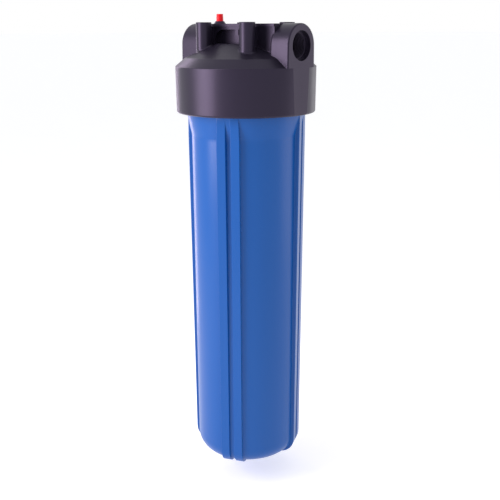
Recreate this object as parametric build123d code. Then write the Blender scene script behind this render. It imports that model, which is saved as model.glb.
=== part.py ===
from build123d import *
import os
from math import hypot

# Cartridge filter housing, 20-inch jumbo size.  Millimetres, +Z up.
# Origin: centre of the bowl's underside.  X runs through the two ports (inlet at -X),
# -Y is the front.

# --- head: skirt, cone and plateau -------------------------------------------------
HEAD_R = 92.0                # skirt, outside, at its top edge
SKIRT_FOOT_R = 91.4          # skirt, outside, at its bottom edge (draft)
SKIRT_FOOT_Z = 487.5
SKIRT_TOP_Z = 546.4
SKIRT_LIP = 2.5              # rounding of the skirt's bottom edge
SKIRT_SHOULDER = 1.2         # rounding between skirt and top chamfer
CONE_EDGE = 1.5
PLATEAU_EDGE = 6.0
CHAMFER_R = 78.6             # where the top chamfer meets the cone
CHAMFER_Z = 557.4
PLATEAU_R = 38.0
PLATEAU_Z = 574.6
HEAD_BORE_R = 83.0           # inside of the skirt
BORE_LEAD_IN = 1.5
SEAL_LAND_Z = 541.3          # face that the sump's seal ring closes on
PLENUM_R = 64.0
PLENUM_Z = 552.0

# --- head: ports -------------------------------------------------------------------
PORT_FACE_X = 90.5
PORT_Z = 572.8
PORT_THREAD_R = 16.6         # G1 female thread, at its major diameter
PORT_THREAD_DEPTH = 20.0
PORT_RELIEF_R = 18.35
PORT_RELIEF_DEPTH = 5.0
BOSS_FOOT_HALF = 27.3        # boss half width at its foot
BOSS_CROWN_R = 26.8          # boss half width at the port axis, and radius of its crown
BOSS_FOOT_Z = 546.2
BOSS_BACK_X = 61.5
BOSS_FACE_EDGE = 1.8
BOSS_BACK_EDGE = 3.0

# --- head: bar, deck and posts -----------------------------------------------------
BAR_HALF = 22.5
BAR_FOOT_Z = 556.0
DECK_HALF = 24.0
DECK_TOP_Z = 599.2
DECK_THICK = 3.6
POCKET_HALF = 34.0
POCKET_TOP_Z = 592.0
POCKET_CORNER = 15.0
POCKET_BACK_Y = 15.5
LUG_X = 4.5
LUG_WIDTH = 5.0
LUG_DROP = 7.0
POST_X = 36.7
POST_Y = 39.9
POST_R = 10.0
POST_TOP_Z = 601.1
POST_FOOT_Z = 558.0
POST_EDGE = 0.8
POST_HOLE_R = 3.0
POST_HOLE_DEPTH = 25.0
POST_PLACES = [(x, y) for x in (-POST_X, POST_X) for y in (-POST_Y, POST_Y)]
POST_RIB_THICK = 5.0
POST_BLEND = 2.5             # fillet where the posts meet the cone
FOOT_BLEND = 1.0             # fillet where bosses, bar and ribs meet the cone

# --- head: water ways --------------------------------------------------------------
INLET_R = 13.0
INLET_END_X = 38.0
DROP_X = 53.5
DROP_R = 9.0
OUTLET_R = 10.5
SPIGOT_R = 17.5
SPIGOT_EDGE_Z = 529.3        # knife edge that bites the top gasket
SPIGOT_EDGE_R = 16.6
SPIGOT_NOSE_R = 13.2
SPIGOT_NOSE_LENGTH = 7.0

# --- head: where the moulding is divided into simpler solids ------------------------
DIVIDE_X = 60.5              # just behind each port boss
BOSS_ZONE_HALF = 33.0
BOSS_ZONE_Z = 548.5          # above the rounded rim
DIVIDE_Z = 572.8             # through the axis of the two passages
SPIGOT_ZONE_R = 30.0

# --- joint between head and sump: one coarse right-hand thread ----------------------
THREAD_PITCH = 8.0
THREAD_ROOT_WIDTH = 4.2
THREAD_TIP_WIDTH = 2.0
THREAD_BITE = 0.5            # how far a ridge is sunk into its wall
SUMP_THREAD_TIP_R = 82.4
HEAD_THREAD_TIP_R = 79.5
SUMP_THREAD_Z = 501.0
HEAD_THREAD_Z = 497.0
SUMP_THREAD_TURNS = 3.5
HEAD_THREAD_TURNS = 4.0

# --- sump --------------------------------------------------------------------------
BOWL_FOOT_R = 71.3
BOWL_CORNER = 24.0
BOWL_TOP_R = 72.4
BOWL_TOP_Z = 458.0
FLARE_R = 77.3
FLARE_Z = 482.0
FLARE_BLEND = 30.0
NECK_R = 78.8
NECK_Z = 490.0
RIM_Z = 540.0
BOWL_WALL = 5.6
NECK_BORE_R = 68.5
NECK_BORE_Z = 486.0
FLOOR_THICK = 8.0
INNER_CORNER = 20.0
RIB_PAIRS = 4
RIB_PAIR_ANGLE = 23.0
RIB_FOOT_FACE = 74.0         # distance of a rib's flat face from the axis
RIB_TOP_FACE = 77.0
RIB_TOP_Z = 485.0
RIB_CORNER = 22.0
RIB_GAP = 6.0
RIB_WIDTH = 11.4
RIB_INSIDE_R = 68.0
RIB_EDGE = 1.0
SEAT_RING_R = 20.0
SEAT_BORE_R = 15.0
SEAT_TOP_Z = 20.7
SEAT_EDGE = 1.5              # height of the knife edge on the seat ring
SEAT_POST_R = 12.4
SEAT_POST_Z = 33.0
SEAT_RIB_REACH = 54.0
SEAT_RIB_HEIGHT = 6.0
SEAT_RIB_THICK = 3.0
SEAL_RING_R = 73.6           # centre line of the rim's O-ring
SEAL_SECTION_R = 2.6
SEAL_GROOVE_DEPTH = 4.1
SEAL_GROOVE_HALF = 2.7

# --- pressure relief valve ---------------------------------------------------------
VALVE_X = -45.0
BUSH_FLANGE_R = 8.0
BUSH_FLANGE_TIP_R = 5.7
BUSH_FLANGE_TOP_Z = 602.6
BUSH_BODY_R = 6.8
BUSH_FOOT_Z = 588.3
BUSH_BORE_R = 4.9
BUSH_BORE_Z = 591.6
STEM_R = 1.5
STEM_CLEARANCE = 0.08
BUTTON_FOOT_R = 4.7
BUTTON_TIP_R = 4.3
BUTTON_TOP_Z = 611.7
BUTTON_FOOT_Z = 599.1
BUTTON_EDGE = 0.5
STEM_TOP_Z = 607.3
VALVE_HEAD_R = 4.6
VALVE_HEAD_THICK = 1.6
VALVE_SEAL_R = 3.0
VALVE_SEAL_SECTION_R = 0.9
BUSH_SEAL_SECTION_R = 0.7
BUSH_GROOVE_RISE = 1.5       # groove's middle above the bushing's foot
BUSH_GROOVE_HALF = 0.8
SPRING_R = 3.6
SPRING_WIRE_R = 0.35
SPRING_TURNS = 4.5

# --- cartridge ---------------------------------------------------------------------
CARTRIDGE_FOOT_Z = 21.0
CARTRIDGE_LENGTH = 508.0
CARTRIDGE_CAP_R = 57.0
CAP_THICK = 6.0
CAP_SKIRT = 6.0
CAP_SKIRT_WALL = 1.6
CAP_BORE_R = 14.6
GASKET_R = 27.0
GASKET_THICK = 3.0
GASKET_STEP = 1.2            # how far a gasket stands proud of its cap
CORE_R = 19.5
CORE_WALL = 3.0
MEDIA_R = 54.6
MEDIA_BORE_R = 19.6
NET_R = 55.3
NET_THICK = 0.6
PART_GAP = 0.05              # assembly gap between pieces that touch


def turned(*points, rounds=()):
    """A solid of revolution about Z from its half section, as (radius, z) points.

    rounds lists corners to round off, each with its radius: ((radius, z), rounding).
    """
    section = make_face(Polyline(*points, close=True))
    for corner, rounding in rounds:
        nearest = section.vertices().sort_by_distance(Vector(*corner))[0]
        section = fillet(nearest, rounding)
    return revolve(Plane.XZ * section, axis=Axis.Z)


def ring(outer_r, inner_r, low_z, high_z):
    """A plain tube standing on low_z."""
    return turned((inner_r, low_z), (outer_r, low_z), (outer_r, high_z), (inner_r, high_z))


def rod(radius, low_z, high_z, x=0.0, y=0.0):
    """A vertical cylinder."""
    return Pos(x, y, (low_z + high_z) / 2) * Cylinder(radius, high_z - low_z)


def block(low, high):
    """A box given by its lowest and highest corners."""
    size = [b - a for a, b in zip(low, high)]
    middle = [(a + b) / 2 for a, b in zip(low, high)]
    return Pos(*middle) * Box(*size)


def torus_at(ring_r, section_r, z, x=0.0):
    """An O-ring lying flat."""
    return Pos(x, 0, z) * Torus(ring_r, section_r)


def thread_ridge(wall_r, tip_r, start_z, turns):
    """One helical ridge, sunk into the wall it grows from."""
    bite = THREAD_BITE if wall_r > tip_r else -THREAD_BITE
    root_r = wall_r + bite
    path = Helix(pitch=THREAD_PITCH, height=turns * THREAD_PITCH, radius=root_r, center=(0, 0, start_z))
    corners = [
        (root_r, start_z - THREAD_ROOT_WIDTH / 2),
        (tip_r, start_z - THREAD_TIP_WIDTH / 2),
        (tip_r, start_z + THREAD_TIP_WIDTH / 2),
        (root_r, start_z + THREAD_ROOT_WIDTH / 2),
    ]
    section = make_face(Plane.XZ * Polyline(*corners, close=True))
    return sweep(section, path=path, is_frenet=True)


# --- head --------------------------------------------------------------------------
def head_shell():
    """Skirt, chamfer, cone and plateau, hollow underneath."""
    shell = turned(
        (0, PLENUM_Z),
        (PLENUM_R, PLENUM_Z),
        (PLENUM_R, SEAL_LAND_Z),
        (HEAD_BORE_R, SEAL_LAND_Z),
        (HEAD_BORE_R, SKIRT_FOOT_Z + BORE_LEAD_IN),
        (HEAD_BORE_R + BORE_LEAD_IN, SKIRT_FOOT_Z),
        (SKIRT_FOOT_R, SKIRT_FOOT_Z),
        (HEAD_R, SKIRT_TOP_Z),
        (CHAMFER_R, CHAMFER_Z),
        (PLATEAU_R, PLATEAU_Z),
        (0, PLATEAU_Z),
        rounds=[
            ((SKIRT_FOOT_R, SKIRT_FOOT_Z), SKIRT_LIP),
            ((HEAD_R, SKIRT_TOP_Z), SKIRT_SHOULDER),
            ((CHAMFER_R, CHAMFER_Z), CONE_EDGE),
            ((PLATEAU_R, PLATEAU_Z), PLATEAU_EDGE),
        ],
    )
    beyond_port = block((PORT_FACE_X, -HEAD_R, 0), (PORT_FACE_X + HEAD_R, HEAD_R, PLATEAU_Z))
    return shell - beyond_port - mirror(beyond_port, Plane.YZ)


def port_boss():
    """Arched block around the port on the +X side."""
    sides = Polyline(
        (-BOSS_CROWN_R, PORT_Z),
        (-BOSS_FOOT_HALF, BOSS_FOOT_Z),
        (BOSS_FOOT_HALF, BOSS_FOOT_Z),
        (BOSS_CROWN_R, PORT_Z),
    )
    crown = ThreePointArc((BOSS_CROWN_R, PORT_Z), (0, PORT_Z + BOSS_CROWN_R), (-BOSS_CROWN_R, PORT_Z))
    outline = make_face(Plane.YZ * (sides + crown))
    boss = Pos(BOSS_BACK_X, 0, 0) * extrude(outline, PORT_FACE_X - BOSS_BACK_X)
    front = boss.faces().sort_by(Axis.X)[-1]
    boss = fillet(front.edges().sort_by(Axis.Z)[1:], BOSS_FACE_EDGE)
    back = boss.faces().sort_by(Axis.X)[0]
    return fillet(back.edges().sort_by(Axis.Z)[1:], BOSS_BACK_EDGE)


def bar():
    """Bar between the bosses, with a thin deck on top and an arched pocket each side."""
    body = block((-BOSS_BACK_X - 4, -BAR_HALF, BAR_FOOT_Z), (BOSS_BACK_X + 4, BAR_HALF, DECK_TOP_Z))
    deck = block(
        (-BOSS_BACK_X - 4, -DECK_HALF, DECK_TOP_Z - DECK_THICK),
        (BOSS_BACK_X + 4, DECK_HALF, DECK_TOP_Z),
    )
    pocket = block((-POCKET_HALF, POCKET_BACK_Y, PLATEAU_Z), (POCKET_HALF, DECK_HALF + 1, POCKET_TOP_Z))
    corners = pocket.edges().filter_by(Axis.Y).sort_by(Axis.Z)[-2:]
    pocket = fillet(corners, POCKET_CORNER)
    lug = block(
        (LUG_X - LUG_WIDTH / 2, -BAR_HALF, POCKET_TOP_Z - LUG_DROP),
        (LUG_X + LUG_WIDTH / 2, -POCKET_BACK_Y + 1, POCKET_TOP_Z + 1),
    )
    return body + deck - pocket - mirror(pocket, Plane.XZ) + lug


def post(x, y):
    """One bracket post."""
    pillar = rod(POST_R, POST_FOOT_Z, POST_TOP_Z, x, y)
    top = pillar.edges().filter_by(GeomType.CIRCLE).sort_by(Axis.Z)[-1]
    return fillet(top, POST_EDGE)


def post_rib(x, y):
    """Web between one post and the bar."""
    side = 1 if y > 0 else -1
    near, far = sorted((side * (BAR_HALF - 1), y))
    return block(
        (x - POST_RIB_THICK / 2, near, POST_FOOT_Z),
        (x + POST_RIB_THICK / 2, far, DECK_TOP_Z - DECK_THICK),
    )


def cone_z(radius):
    """Height of the head's cone at a distance from the axis."""
    share = (radius - PLATEAU_R) / (CHAMFER_R - PLATEAU_R)
    return PLATEAU_Z + share * (CHAMFER_Z - PLATEAU_Z)


def lies_on_cone(edge):
    """Whether an edge is where something stands on the head's cone."""
    for share in (0.1, 0.3, 0.5, 0.7, 0.9):
        point = edge @ share
        radius = hypot(point.X, point.Y)
        clear_of_rims = PLATEAU_R + 3 < radius < CHAMFER_R - 1
        if not clear_of_rims or abs(point.Z - cone_z(radius)) > 0.02:
            return False
    return True


def foot_edges(body, posts=False):
    """Edges on the cone, either those of the round posts or all of them."""
    edges = body.edges().filter_by(lies_on_cone)
    if not posts:
        return edges
    return [e for e in edges if is_post_edge(e)]


def is_post_edge(edge):
    """Whether an edge runs round one of the posts."""
    point = edge @ 0.5
    return any(abs(hypot(point.X - x, point.Y - y) - POST_R) < 0.05 for x, y in POST_PLACES)


def head_outside():
    """Shell with everything that stands on it, and the fillets at their feet."""
    boss = port_boss()
    body = head_shell() + boss + mirror(boss, Plane.YZ) + bar()
    for x, y in POST_PLACES:
        body += post(x, y)
        body += post_rib(x, y)
    body = fillet(foot_edges(body, posts=True), POST_BLEND)
    body = fillet(foot_edges(body), FOOT_BLEND)
    for x, y in POST_PLACES:
        body -= rod(POST_HOLE_R, POST_TOP_Z - POST_HOLE_DEPTH, POST_TOP_Z + 1, x, y)
    return body


def spigot():
    """Centre tube that carries the outlet down into the cartridge."""
    nose_z = SPIGOT_EDGE_Z - SPIGOT_NOSE_LENGTH
    return turned(
        (0, PLENUM_Z + 1),
        (SPIGOT_R + 3, PLENUM_Z + 1),
        (SPIGOT_R, SPIGOT_EDGE_Z + 6),
        (SPIGOT_R, SPIGOT_EDGE_Z + 1.5),
        (SPIGOT_EDGE_R, SPIGOT_EDGE_Z),
        (SPIGOT_EDGE_R - 1.0, SPIGOT_EDGE_Z + 1.5),
        (SPIGOT_NOSE_R, SPIGOT_EDGE_Z + 1.5),
        (SPIGOT_NOSE_R, nose_z + 1),
        (SPIGOT_NOSE_R - 1, nose_z),
        (0, nose_z),
    )


def port_bore(side):
    """Relief and threaded length of one port, cut from the outside in."""
    along = Rot(0, 90 * side, 0)
    start = PORT_FACE_X + 1
    relief = Cylinder(PORT_RELIEF_R, 2 * (PORT_RELIEF_DEPTH + 1))
    thread = Cylinder(PORT_THREAD_R, 2 * (PORT_RELIEF_DEPTH + PORT_THREAD_DEPTH + 1))
    return Pos(side * start, 0, PORT_Z) * along * (relief + thread)


def water_ways():
    """Inlet down to the outside of the cartridge, outlet up from its core."""
    thread_end = PORT_FACE_X - PORT_RELIEF_DEPTH - PORT_THREAD_DEPTH
    inlet_length = thread_end + 1 - INLET_END_X
    inlet_x = -(thread_end + 1 + INLET_END_X) / 2
    inlet = Pos(inlet_x, 0, PORT_Z) * Rot(0, 90, 0) * Cylinder(INLET_R, inlet_length)
    drop = rod(DROP_R, PLENUM_Z - 1, PORT_Z, x=-DROP_X)
    outlet_length = thread_end + 1
    outlet = Pos(outlet_length / 2, 0, PORT_Z) * Rot(0, 90, 0) * Cylinder(OUTLET_R, outlet_length)
    bend = Pos(0, 0, PORT_Z) * Sphere(OUTLET_R)
    riser = rod(OUTLET_R, SPIGOT_EDGE_Z - SPIGOT_NOSE_LENGTH - 1, PORT_Z)
    return inlet + drop + outlet + bend + riser


def head():
    """The whole head as one moulding."""
    body = head_outside() + spigot()
    body += thread_ridge(HEAD_BORE_R, HEAD_THREAD_TIP_R, HEAD_THREAD_Z, HEAD_THREAD_TURNS)
    body -= port_bore(1) + port_bore(-1)
    body -= water_ways()
    return body - rod(BUSH_BODY_R + PART_GAP, PORT_Z, DECK_TOP_Z + 1, x=VALVE_X)


def head_solids():
    """The moulding divided face to face, so that each solid is open where the head is."""
    whole = head()
    far = 2 * HEAD_R
    top_z = POST_TOP_Z + 1
    outlet_end = block((DIVIDE_X, -BOSS_ZONE_HALF, BOSS_ZONE_Z), (far, BOSS_ZONE_HALF, top_z))
    inlet_end = mirror(outlet_end, Plane.YZ)
    inside = rod(SPIGOT_ZONE_R, SPIGOT_EDGE_Z - SPIGOT_NOSE_LENGTH - 1, PLENUM_Z)
    below = block((-far, -far, SKIRT_FOOT_Z - 1), (far, far, SEAL_LAND_Z))
    middle = block((-far, -far, SEAL_LAND_Z), (far, far, DIVIDE_Z))
    above = block((-far, -far, DIVIDE_Z), (far, far, top_z))
    return {
        "head_skirt": whole & (below - inside),
        "head_spigot": whole & inside,
        "head_dome": whole & (middle - inside - outlet_end - inlet_end),
        "head_bar": whole & (above - outlet_end - inlet_end),
        "head_outlet_boss": whole & outlet_end,
        "head_inlet_boss": whole & inlet_end,
    }


# --- sump --------------------------------------------------------------------------
def bowl_outside():
    """The bowl as a plain solid of revolution, filled."""
    return turned(
        (0, 0),
        (BOWL_FOOT_R, 0),
        (BOWL_TOP_R, BOWL_TOP_Z),
        (FLARE_R, FLARE_Z),
        (NECK_R, NECK_Z),
        (NECK_R, RIM_Z),
        (0, RIM_Z),
        rounds=[
            ((BOWL_FOOT_R, 0), BOWL_CORNER),
            ((BOWL_TOP_R, BOWL_TOP_Z), FLARE_BLEND),
            ((FLARE_R, FLARE_Z), FLARE_BLEND / 2),
        ],
    )


def rib():
    """One vertical rib with a flat face, standing on the +X side of the axis."""
    outline = Polyline(
        (RIB_INSIDE_R - 24, 0),
        (RIB_FOOT_FACE, 0),
        (RIB_TOP_FACE, RIB_TOP_Z),
        (RIB_INSIDE_R - 24, RIB_TOP_Z),
        close=True,
    )
    blank = extrude(make_face(Plane.XZ * outline), RIB_WIDTH / 2, both=True)
    foot = blank.edges().filter_by(Axis.Y).sort_by(Axis.Z)[:2].sort_by(Axis.X)[-1]
    blank = fillet(foot, RIB_CORNER)
    long_edges = blank.edges().filter_by(lambda e: e.length > 0.7 * RIB_TOP_Z).sort_by(Axis.X)[-2:]
    return fillet(long_edges, RIB_EDGE)


def bowl_inside():
    """The space inside the bowl."""
    return turned(
        (0, FLOOR_THICK),
        (BOWL_FOOT_R - BOWL_WALL, FLOOR_THICK),
        (BOWL_TOP_R - BOWL_WALL, BOWL_TOP_Z),
        (NECK_BORE_R, NECK_BORE_Z),
        (NECK_BORE_R, RIM_Z + 1),
        (0, RIM_Z + 1),
        rounds=[((BOWL_FOOT_R - BOWL_WALL, FLOOR_THICK), INNER_CORNER)],
    )


def cartridge_seat():
    """Ring, post and ribs on the bowl's floor that hold the cartridge's foot."""
    low = FLOOR_THICK - 1
    seat = turned(
        (SEAT_BORE_R, low),
        (SEAT_RING_R, low),
        (SEAT_RING_R, SEAT_TOP_Z - SEAT_EDGE),
        (SEAT_BORE_R + 2 * SEAT_EDGE, SEAT_TOP_Z - SEAT_EDGE),
        (SEAT_BORE_R + SEAT_EDGE, SEAT_TOP_Z),
        (SEAT_BORE_R, SEAT_TOP_Z - SEAT_EDGE),
    )
    seat += rod(SEAT_POST_R, low, SEAT_POST_Z)
    reach = SEAT_RIB_REACH - SEAT_RING_R + 1
    fin = block((0, -SEAT_RIB_THICK / 2, low), (reach, SEAT_RIB_THICK / 2, FLOOR_THICK + SEAT_RIB_HEIGHT))
    for k in range(6):
        seat += Rot(0, 0, 60 * k) * (Pos(SEAT_RING_R - 1, 0, 0) * fin)
    return seat


def sump():
    """The whole bowl as one moulding."""
    body = bowl_outside()
    one = rib()
    offset = (RIB_GAP + RIB_WIDTH) / 2
    for pair in range(RIB_PAIRS):
        turn = Rot(0, 0, RIB_PAIR_ANGLE + pair * 360 / RIB_PAIRS)
        body += turn * (Pos(0, offset, 0) * one)
        body += turn * (Pos(0, -offset, 0) * one)
    body -= bowl_inside()
    body += cartridge_seat()
    body += thread_ridge(NECK_R, SUMP_THREAD_TIP_R, SUMP_THREAD_Z, SUMP_THREAD_TURNS)
    groove_r = SEAL_RING_R + SEAL_GROOVE_HALF
    body -= ring(groove_r, SEAL_RING_R - SEAL_GROOVE_HALF, RIM_Z - SEAL_GROOVE_DEPTH, RIM_Z + 1)
    return body


def sump_seal_ring():
    """O-ring standing in the rim's groove."""
    return torus_at(SEAL_RING_R, SEAL_SECTION_R, RIM_Z - SEAL_GROOVE_DEPTH + PART_GAP + SEAL_SECTION_R)


# --- pressure relief valve ---------------------------------------------------------
def relief_bushing():
    """Collar with a conical flange, a bore for button and spring, and a stem guide."""
    guide_r = STEM_R + STEM_CLEARANCE
    bush = turned(
        (guide_r, BUSH_FOOT_Z),
        (BUSH_BODY_R, BUSH_FOOT_Z),
        (BUSH_BODY_R, DECK_TOP_Z + PART_GAP),
        (BUSH_FLANGE_R, DECK_TOP_Z + PART_GAP),
        (BUSH_FLANGE_TIP_R, BUSH_FLANGE_TOP_Z),
        (BUSH_BORE_R, BUSH_FLANGE_TOP_Z),
        (BUSH_BORE_R, BUSH_BORE_Z),
        (guide_r, BUSH_BORE_Z),
    )
    groove_z = BUSH_FOOT_Z + BUSH_GROOVE_RISE
    groove_r = BUSH_BODY_R - 2 * BUSH_SEAL_SECTION_R
    groove = ring(BUSH_BODY_R + 1, groove_r, groove_z - BUSH_GROOVE_HALF, groove_z + BUSH_GROOVE_HALF)
    return Pos(VALVE_X, 0, 0) * (bush - groove)


def relief_bushing_seal():
    """O-ring in the bushing's groove."""
    groove_z = BUSH_FOOT_Z + BUSH_GROOVE_RISE
    return torus_at(BUSH_BODY_R - BUSH_SEAL_SECTION_R, BUSH_SEAL_SECTION_R, groove_z, VALVE_X)


def relief_button():
    """Tapered push button with a shank for the spring."""
    bore_r = STEM_R + PART_GAP / 5
    button = turned(
        (bore_r, BUTTON_FOOT_Z),
        (BUTTON_FOOT_R, BUTTON_FOOT_Z),
        (BUTTON_FOOT_R, BUSH_FLANGE_TOP_Z),
        (BUTTON_TIP_R, BUTTON_TOP_Z),
        (0, BUTTON_TOP_Z),
        (0, STEM_TOP_Z + PART_GAP),
        (bore_r, STEM_TOP_Z + PART_GAP),
        rounds=[((BUTTON_TIP_R, BUTTON_TOP_Z), BUTTON_EDGE)],
    )
    return Pos(VALVE_X, 0, 0) * button


def relief_stem():
    """Steel stem with its valve head below the bushing."""
    head_top = BUSH_FOOT_Z - 2 * VALVE_SEAL_SECTION_R - 2 * PART_GAP
    stem = rod(STEM_R, head_top - VALVE_HEAD_THICK, STEM_TOP_Z, x=VALVE_X)
    return stem + rod(VALVE_HEAD_R, head_top - VALVE_HEAD_THICK, head_top, x=VALVE_X)


def relief_valve_seal():
    """O-ring lying on the valve head."""
    middle_z = BUSH_FOOT_Z - VALVE_SEAL_SECTION_R - PART_GAP
    return torus_at(VALVE_SEAL_R, VALVE_SEAL_SECTION_R, middle_z, VALVE_X)


def relief_spring():
    """Coil spring between the bushing's floor and the button."""
    low = BUSH_BORE_Z + SPRING_WIRE_R + PART_GAP
    high = BUTTON_FOOT_Z - SPRING_WIRE_R - PART_GAP
    path = Helix(pitch=(high - low) / SPRING_TURNS, height=high - low, radius=SPRING_R)
    wire = Plane(path @ 0, z_dir=path % 0) * Circle(SPRING_WIRE_R)
    return Pos(VALVE_X, 0, low) * sweep(wire, path=path, is_frenet=True)


# --- cartridge ---------------------------------------------------------------------
CARTRIDGE_TOP_Z = CARTRIDGE_FOOT_Z + CARTRIDGE_LENGTH
CAP_FACE_Z = CARTRIDGE_FOOT_Z + GASKET_STEP
CAP_BACK_Z = CAP_FACE_Z + CAP_THICK
FLIP = Pos(0, 0, CARTRIDGE_FOOT_Z + CARTRIDGE_TOP_Z) * Rot(180, 0, 0)


def filter_bottom_cap():
    """End cap: a disc with a skirt round the pleats and a seat for the gasket."""
    seat_z = CARTRIDGE_FOOT_Z + GASKET_THICK + PART_GAP
    return turned(
        (CAP_BORE_R, seat_z),
        (GASKET_R + PART_GAP, seat_z),
        (GASKET_R + PART_GAP, CAP_FACE_Z),
        (CARTRIDGE_CAP_R - 1.5, CAP_FACE_Z),
        (CARTRIDGE_CAP_R, CAP_FACE_Z + 1.5),
        (CARTRIDGE_CAP_R, CAP_BACK_Z + CAP_SKIRT),
        (CARTRIDGE_CAP_R - CAP_SKIRT_WALL, CAP_BACK_Z + CAP_SKIRT),
        (CARTRIDGE_CAP_R - CAP_SKIRT_WALL, CAP_BACK_Z),
        (CAP_BORE_R, CAP_BACK_Z),
    )


def filter_bottom_gasket():
    """Flat rubber ring in the cap's seat."""
    return ring(GASKET_R, CAP_BORE_R, CARTRIDGE_FOOT_Z, CARTRIDGE_FOOT_Z + GASKET_THICK)


def filter_tube(outer_r, inner_r, gap):
    """A tube that fills the length between the two caps, less a gap at each end."""
    low = CAP_BACK_Z + gap
    return ring(outer_r, inner_r, low, CARTRIDGE_FOOT_Z + CARTRIDGE_TOP_Z - low)


def write_parts(parts):
    """One STEP file for each piece."""
    os.makedirs("parts", exist_ok=True)
    for name, solid in parts.items():
        solid.label = name
        export_step(solid, f"parts/{name}.step")


PARTS = {
    **head_solids(),
    "sump": sump(),
    "sump_seal_ring": sump_seal_ring(),
    "relief_bushing": relief_bushing(),
    "relief_bushing_seal": relief_bushing_seal(),
    "relief_button": relief_button(),
    "relief_stem": relief_stem(),
    "relief_valve_seal": relief_valve_seal(),
    "relief_spring": relief_spring(),
    "filter_media": filter_tube(MEDIA_R, MEDIA_BORE_R, PART_GAP),
    "filter_core": filter_tube(CORE_R, CORE_R - CORE_WALL, PART_GAP),
    "filter_outer_net": filter_tube(NET_R, NET_R - NET_THICK, PART_GAP),
    "filter_bottom_cap": filter_bottom_cap(),
    "filter_bottom_gasket": filter_bottom_gasket(),
    "filter_top_cap": FLIP * filter_bottom_cap(),
    "filter_top_gasket": FLIP * filter_bottom_gasket(),
}

write_parts(PARTS)
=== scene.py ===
import logging
import math
from dataclasses import dataclass, field
from enum import Enum

import bpy
import numpy as np
from mathutils import Matrix, Vector

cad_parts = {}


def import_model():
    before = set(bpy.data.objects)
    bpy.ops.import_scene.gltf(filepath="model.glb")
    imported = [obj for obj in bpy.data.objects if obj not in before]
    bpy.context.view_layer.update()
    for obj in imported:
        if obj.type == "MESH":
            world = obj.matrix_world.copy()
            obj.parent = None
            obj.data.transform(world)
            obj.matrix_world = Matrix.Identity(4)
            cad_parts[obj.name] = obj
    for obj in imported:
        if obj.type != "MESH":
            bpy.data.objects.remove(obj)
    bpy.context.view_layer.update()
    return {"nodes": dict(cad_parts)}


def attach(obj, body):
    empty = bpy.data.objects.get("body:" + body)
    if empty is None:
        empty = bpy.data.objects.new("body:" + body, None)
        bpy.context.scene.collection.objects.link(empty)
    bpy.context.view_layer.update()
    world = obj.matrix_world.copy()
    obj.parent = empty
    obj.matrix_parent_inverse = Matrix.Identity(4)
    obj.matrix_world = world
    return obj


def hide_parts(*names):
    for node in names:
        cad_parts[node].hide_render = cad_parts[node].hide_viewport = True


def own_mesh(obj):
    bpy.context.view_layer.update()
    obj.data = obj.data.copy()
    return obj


LOG = logging.getLogger("housing")
MM = 0.001


# --- small tools -----------------------------------------------------------------------
def linear(colour: str) -> tuple[float, float, float, float]:
    """Turns an sRGB hex colour into the linear values a shader takes.

    Args:
        colour: Six hex digits with a leading hash.

    Returns:
        Linear red, green and blue, and full opacity.
    """
    values = [int(colour[i:i + 2], 16) / 255 for i in (1, 3, 5)]
    steps = [v / 12.92 if v <= 0.04045 else ((v + 0.055) / 1.055) ** 2.4 for v in values]
    return steps[0], steps[1], steps[2], 1.0


def add(tree: bpy.types.NodeTree, kind: str, inputs: dict | None = None, **settings) -> bpy.types.Node:
    """Adds one node to a tree, with its settings, values and links.

    Args:
        tree: The tree that takes the node.
        kind: Blender's name for the node's type.
        inputs: Value or source socket for each input, by name or number.
        **settings: The node's own options.

    Returns:
        The new node.
    """
    node = tree.nodes.new(kind)
    for key, value in settings.items():
        setattr(node, key, value)
    for key, value in (inputs or {}).items():
        if isinstance(value, bpy.types.NodeSocket):
            tree.links.new(value, node.inputs[key])
        else:
            node.inputs[key].default_value = value
    return node


def noise(tree: bpy.types.NodeTree, coords: bpy.types.NodeSocket, size_mm: float, detail: float,
          **more: float) -> bpy.types.NodeSocket:
    """Adds noise whose features have about a stated width.

    Args:
        tree: The tree that takes the node.
        coords: Coordinates in metres.
        size_mm: The features' width in millimetres.
        detail: How many finer octaves are laid over them.
        **more: The node's other inputs.

    Returns:
        The noise, from 0 to 1.
    """
    return add(tree, "ShaderNodeTexNoise", {
        "Vector": coords, "Scale": 1.0 / (size_mm * MM), "Detail": detail, **more}).outputs["Fac"]


def mottled(tree: bpy.types.NodeTree, share: bpy.types.NodeSocket, first: str,
            second: str) -> bpy.types.NodeSocket:
    """Mixes two colours.

    Args:
        tree: The tree that takes the node.
        share: The second colour's share, from 0 to 1.
        first: One hex colour.
        second: The other.

    Returns:
        The mixed colour.
    """
    return add(tree, "ShaderNodeMix", {
        "Factor": share, 6: linear(first), 7: linear(second)}, data_type="RGBA").outputs[2]


def smooth(x: np.ndarray) -> np.ndarray:
    """A soft step from 0 to 1."""
    x = np.clip(x, 0.0, 1.0)
    return x * x * (3.0 - 2.0 * x)


# --- finishes --------------------------------------------------------------------------
class Finish:
    """A material that is named for what the real piece is made of."""

    name: str

    def shader(self, tree: bpy.types.NodeTree, coords: bpy.types.NodeSocket) -> bpy.types.Node:
        """Builds the surface shader; each finish has its own.

        Args:
            tree: The material's node tree.
            coords: Object coordinates, in metres.

        Returns:
            The shader node.
        """
        raise NotImplementedError

    def material(self) -> bpy.types.Material:
        """The finished material, made once.

        Returns:
            The material, with its shader joined to the output.
        """
        made = bpy.data.materials.get(self.name)
        if made is None:
            made = bpy.data.materials.new(self.name)
            made.use_nodes = True
            tree = made.node_tree
            tree.nodes.clear()
            coords = add(tree, "ShaderNodeTexCoord").outputs["Object"]
            shader = self.shader(tree, coords)
            add(tree, "ShaderNodeOutputMaterial", {"Surface": shader.outputs["BSDF"]})
        return made


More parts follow.
